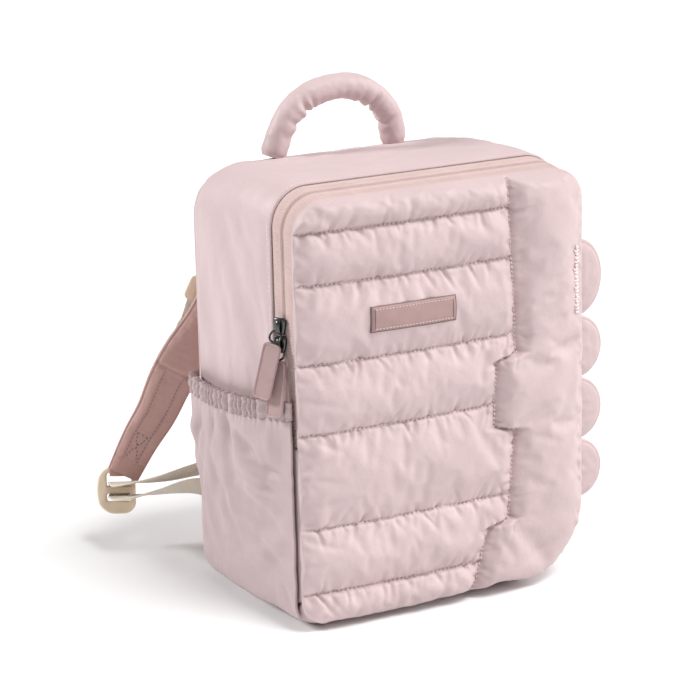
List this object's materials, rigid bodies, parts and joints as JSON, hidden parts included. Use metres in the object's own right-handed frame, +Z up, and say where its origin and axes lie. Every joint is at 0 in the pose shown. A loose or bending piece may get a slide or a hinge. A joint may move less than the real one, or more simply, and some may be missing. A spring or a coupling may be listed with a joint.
{
  "type": "quilted puffer backpack",
  "caption": "Small soft backpack with a quilted padded front, wrap-round zip, elasticated side pocket, half-round padded scallops, padded straps and a carry handle.",
  "frame": {"origin": "the middle of the flat base, on the surface that the bag stands on", "axes": "+Z up, -Y out of the quilted front, +Y towards the wearer, +X to the side with the scallops"},
  "size_m": [0.3322, 0.2734, 0.3754],
  "materials": {
    "cloth": "fine plain-weave polyester with a slight sheen, dusty pink",
    "strap_cloth": "fine plain-weave polyester, dusty pink",
    "zip_tape": "ribbed woven zip tape with a plastic coil, dusty pink",
    "zip_metal": "dark gunmetal, smooth",
    "pull_rubber": "matt soft silicone with a raised rim",
    "label_leather": "smooth leatherette with stitched long edges",
    "webbing": "cream flat-woven webbing",
    "buckle_plastic": "tan moulded plastic, satin"
  },
  "bodies": {
    "root": {"upper_gusset": "cloth", "side_gusset_left": "cloth", "side_gusset_right": "cloth", "base_panel": "cloth", "front_panel": "cloth", "back_panel": "cloth", "side_pocket": "cloth", "pocket_hem": "cloth", "scallop_1": "cloth", "scallop_2": "cloth", "scallop_3": "cloth", "scallop_4": "cloth", "carry_handle": "cloth", "shoulder_strap_left": "strap_cloth", "shoulder_strap_right": "strap_cloth", "buckle_loop_left": "strap_cloth", "buckle_loop_right": "strap_cloth", "zip_tape_front": "zip_tape", "zip_tape_rear": "zip_tape", "zip_coil": "zip_tape", "slider_upper": "zip_metal", "slider_lower": "zip_metal", "pull_ring_upper": "zip_metal", "pull_ring_lower": "zip_metal", "pull_tab_upper": "pull_rubber", "pull_tab_lower": "pull_rubber", "label_patch": "label_leather", "strap_webbing_left": "webbing", "strap_webbing_right": "webbing", "chest_webbing_left": "webbing", "chest_webbing_right": "webbing", "buckle_left": "buckle_plastic", "buckle_right": "buckle_plastic", "chest_tag_left": "buckle_plastic", "chest_tag_right": "buckle_plastic", "chest_socket": "buckle_plastic", "chest_plug": "buckle_plastic"}
  },
  "joints": []
}
